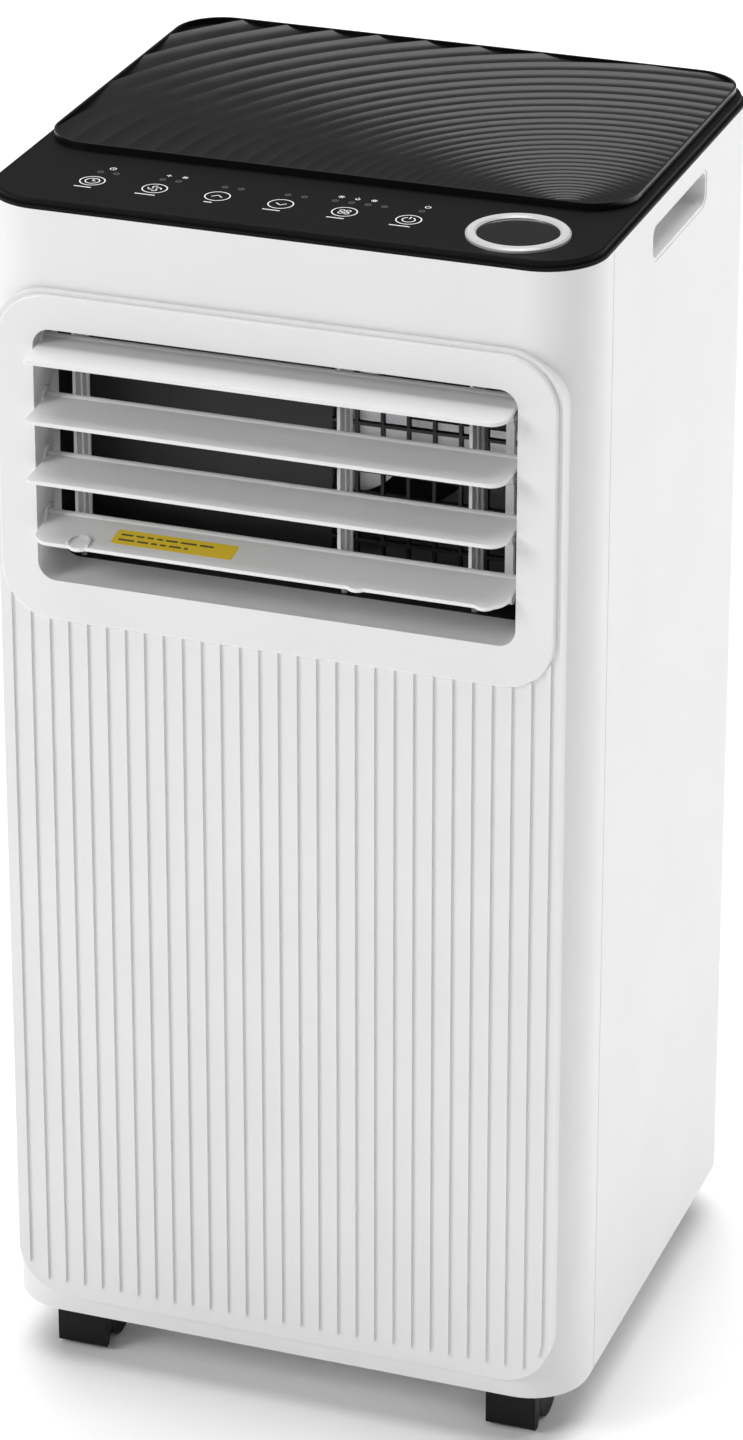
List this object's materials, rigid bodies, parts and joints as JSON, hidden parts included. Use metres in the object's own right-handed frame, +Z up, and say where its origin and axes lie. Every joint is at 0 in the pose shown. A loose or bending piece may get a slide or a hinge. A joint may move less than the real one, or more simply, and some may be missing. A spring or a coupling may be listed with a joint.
{
  "type": "portable air conditioner",
  "caption": "Portable room air conditioner on casters: white ribbed cabinet, black top with touch strip and ridged panel, front air outlet with tilting louvers.",
  "frame": {"origin": "on the floor, in the middle of the object's plan", "axes": "+X to the right seen from the front, +Y to the back, +Z up"},
  "size_m": [0.3, 0.3178, 0.6289],
  "materials": {
    "white_shell": "satin white moulded ABS",
    "white_vent": "satin white moulded ABS",
    "black_satin": "satin black moulded ABS",
    "black_gloss": "gloss black ridged ABS",
    "silver_trim": "satin silver plated ring",
    "black_glass": "gloss black window",
    "black_duct": "matt black plastic",
    "inner_foam": "grey inner moulding",
    "fan_plastic": "dark glass-filled plastic",
    "zinc_steel": "zinc-plated steel",
    "coil_fins": "aluminium fins",
    "black_paint": "black paint on steel",
    "black_rubber": "soft rubber",
    "copper": "copper tube",
    "aluminium_can": "plain aluminium can",
    "circuit_board": "green circuit board",
    "filter_mesh": "grey nylon mesh",
    "caster_plastic": "black moulded nylon",
    "caster_wheel": "black hard plastic wheel"
  },
  "bodies": {
    "cabinet": {"front_shell": "white_shell", "rear_housing": "white_shell", "base_pan": "white_shell", "partition": "inner_foam", "top_cover": "black_satin", "wave_panel": "black_gloss", "display_ring": "silver_trim", "display_window": "black_glass", "handle_cup_left": "white_shell", "handle_cup_right": "white_shell", "outlet_bezel": "white_vent", "outlet_duct": "black_duct", "finger_guard": "black_duct", "evap_scroll": "inner_foam", "evap_motor": "zinc_steel", "evaporator_coil": "coil_fins", "cond_scroll": "inner_foam", "cond_motor": "zinc_steel", "condenser_coil": "coil_fins", "exhaust_duct": "inner_foam", "compressor": "black_paint", "compressor_feet": "black_rubber", "refrigerant_pipes": "copper", "capacitor": "aluminium_can", "control_box": "black_duct", "control_pcb": "circuit_board", "display_pcb": "circuit_board", "lower_grille": "white_shell", "exhaust_collar": "white_shell", "exhaust_guard": "white_shell", "cord_gland": "black_duct", "cord_hooks": "white_shell", "rear_screws": "zinc_steel"},
    "louver_1": {"louver_1": "white_vent"},
    "louver_2": {"louver_2": "white_vent"},
    "louver_3": {"louver_3": "white_vent"},
    "louver_4": {"louver_4": "white_vent"},
    "louver_link": {"louver_link": "white_vent"},
    "vane_1": {"vane_1": "white_vent"},
    "vane_2": {"vane_2": "white_vent"},
    "vane_3": {"vane_3": "white_vent"},
    "vane_link": {"vane_link": "white_vent"},
    "evap_fan": {"evap_wheel": "fan_plastic"},
    "cond_fan": {"cond_wheel": "fan_plastic"},
    "intake_cover": {"intake_cover": "white_shell", "air_filter": "filter_mesh"},
    "drain_plug_upper": {"drain_plug_upper": "black_rubber"},
    "drain_plug_lower": {"drain_plug_lower": "black_rubber"},
    "caster_1": {"caster_1_yoke": "caster_plastic"},
    "caster_1_pair": {"caster_1_wheels": "caster_wheel"},
    "caster_2": {"caster_2_yoke": "caster_plastic"},
    "caster_2_pair": {"caster_2_wheels": "caster_wheel"},
    "caster_3": {"caster_3_yoke": "caster_plastic"},
    "caster_3_pair": {"caster_3_wheels": "caster_wheel"},
    "caster_4": {"caster_4_yoke": "caster_plastic"},
    "caster_4_pair": {"caster_4_wheels": "caster_wheel"}
  },
  "joints": [
    {"name": "louver_1_tilt", "type": "hinge", "parent": "cabinet", "child": "louver_1", "pos_m": [0, -0.129, 0.5542], "axis": [1, 0, 0], "range_deg": [-8, 74]},
    {"name": "louver_2_tilt", "type": "hinge", "parent": "cabinet", "child": "louver_2", "pos_m": [0, -0.129, 0.5242], "axis": [1, 0, 0], "range_deg": [-8, 74]},
    {"name": "louver_3_tilt", "type": "hinge", "parent": "cabinet", "child": "louver_3", "pos_m": [0, -0.129, 0.4942], "axis": [1, 0, 0], "range_deg": [-8, 74]},
    {"name": "louver_4_tilt", "type": "hinge", "parent": "cabinet", "child": "louver_4", "pos_m": [0, -0.129, 0.4642], "axis": [1, 0, 0], "range_deg": [-8, 74]},
    {"name": "louver_link_pin", "type": "hinge", "parent": "louver_1", "child": "louver_link", "pos_m": [0.1095, -0.12308, 0.54151], "axis": [1, 0, 0], "range_deg": [-74, 8]},
    {"name": "vane_1_swing", "type": "hinge", "parent": "cabinet", "child": "vane_1", "pos_m": [-0.112, -0.1035, 0.4995], "axis": [0, 0, 1], "range_deg": [-20, 20]},
    {"name": "vane_2_swing", "type": "hinge", "parent": "cabinet", "child": "vane_2", "pos_m": [0.021, -0.1035, 0.4995], "axis": [0, 0, 1], "range_deg": [-20, 20]},
    {"name": "vane_3_swing", "type": "hinge", "parent": "cabinet", "child": "vane_3", "pos_m": [0.086, -0.1035, 0.4995], "axis": [0, 0, 1], "range_deg": [-20, 20]},
    {"name": "vane_link_pin", "type": "hinge", "parent": "vane_1", "child": "vane_link", "pos_m": [-0.112, -0.0895, 0.4414], "axis": [0, 0, 1], "range_deg": [-20, 20]},
    {"name": "evap_fan_spin", "type": "hinge", "parent": "cabinet", "child": "evap_fan", "pos_m": [0, 0.012, 0.4935], "axis": [0, 1, 0], "continuous": true},
    {"name": "cond_fan_spin", "type": "hinge", "parent": "cabinet", "child": "cond_fan", "pos_m": [0.052, 0.012, 0.158], "axis": [0, 1, 0], "continuous": true},
    {"name": "intake_cover_tilt", "type": "hinge", "parent": "cabinet", "child": "intake_cover", "pos_m": [0, 0.1353, 0.4473], "axis": [-1, 0, 0], "range_deg": [0, 70]},
    {"name": "drain_plug_upper_pull", "type": "slide", "parent": "cabinet", "child": "drain_plug_upper", "axis": [0, 1, 0], "range_m": [0, 0.02]},
    {"name": "drain_plug_lower_pull", "type": "slide", "parent": "cabinet", "child": "drain_plug_lower", "axis": [0, 1, 0], "range_m": [0, 0.02]},
    {"name": "caster_1_swivel", "type": "hinge", "parent": "cabinet", "child": "caster_1", "pos_m": [-0.1145, -0.11, 0.036], "axis": [0, 0, 1], "continuous": true},
    {"name": "caster_1_roll", "type": "hinge", "parent": "caster_1", "child": "caster_1_pair", "pos_m": [-0.1145, -0.101, 0.013], "axis": [1, 0, 0], "continuous": true},
    {"name": "caster_2_swivel", "type": "hinge", "parent": "cabinet", "child": "caster_2", "pos_m": [0.1145, -0.11, 0.036], "axis": [0, 0, 1], "continuous": true},
    {"name": "caster_2_roll", "type": "hinge", "parent": "caster_2", "child": "caster_2_pair", "pos_m": [0.1145, -0.101, 0.013], "axis": [1, 0, 0], "continuous": true},
    {"name": "caster_3_swivel", "type": "hinge", "parent": "cabinet", "child": "caster_3", "pos_m": [-0.1145, 0.11, 0.036], "axis": [0, 0, 1], "continuous": true},
    {"name": "caster_3_roll", "type": "hinge", "parent": "caster_3", "child": "caster_3_pair", "pos_m": [-0.1145, 0.119, 0.013], "axis": [1, 0, 0], "continuous": true},
    {"name": "caster_4_swivel", "type": "hinge", "parent": "cabinet", "child": "caster_4", "pos_m": [0.1145, 0.11, 0.036], "axis": [0, 0, 1], "continuous": true},
    {"name": "caster_4_roll", "type": "hinge", "parent": "caster_4", "child": "caster_4_pair", "pos_m": [0.1145, 0.119, 0.013], "axis": [1, 0, 0], "continuous": true}
  ],
  "couplings": [
    {"joint": "louver_2_tilt", "follows": "louver_1_tilt", "ratio": 1},
    {"joint": "louver_3_tilt", "follows": "louver_1_tilt", "ratio": 1},
    {"joint": "louver_4_tilt", "follows": "louver_1_tilt", "ratio": 1},
    {"joint": "louver_link_pin", "follows": "louver_1_tilt", "ratio": -1},
    {"joint": "vane_2_swing", "follows": "vane_1_swing", "ratio": 1},
    {"joint": "vane_3_swing", "follows": "vane_1_swing", "ratio": 1},
    {"joint": "vane_link_pin", "follows": "vane_1_swing", "ratio": -1}
  ]
}
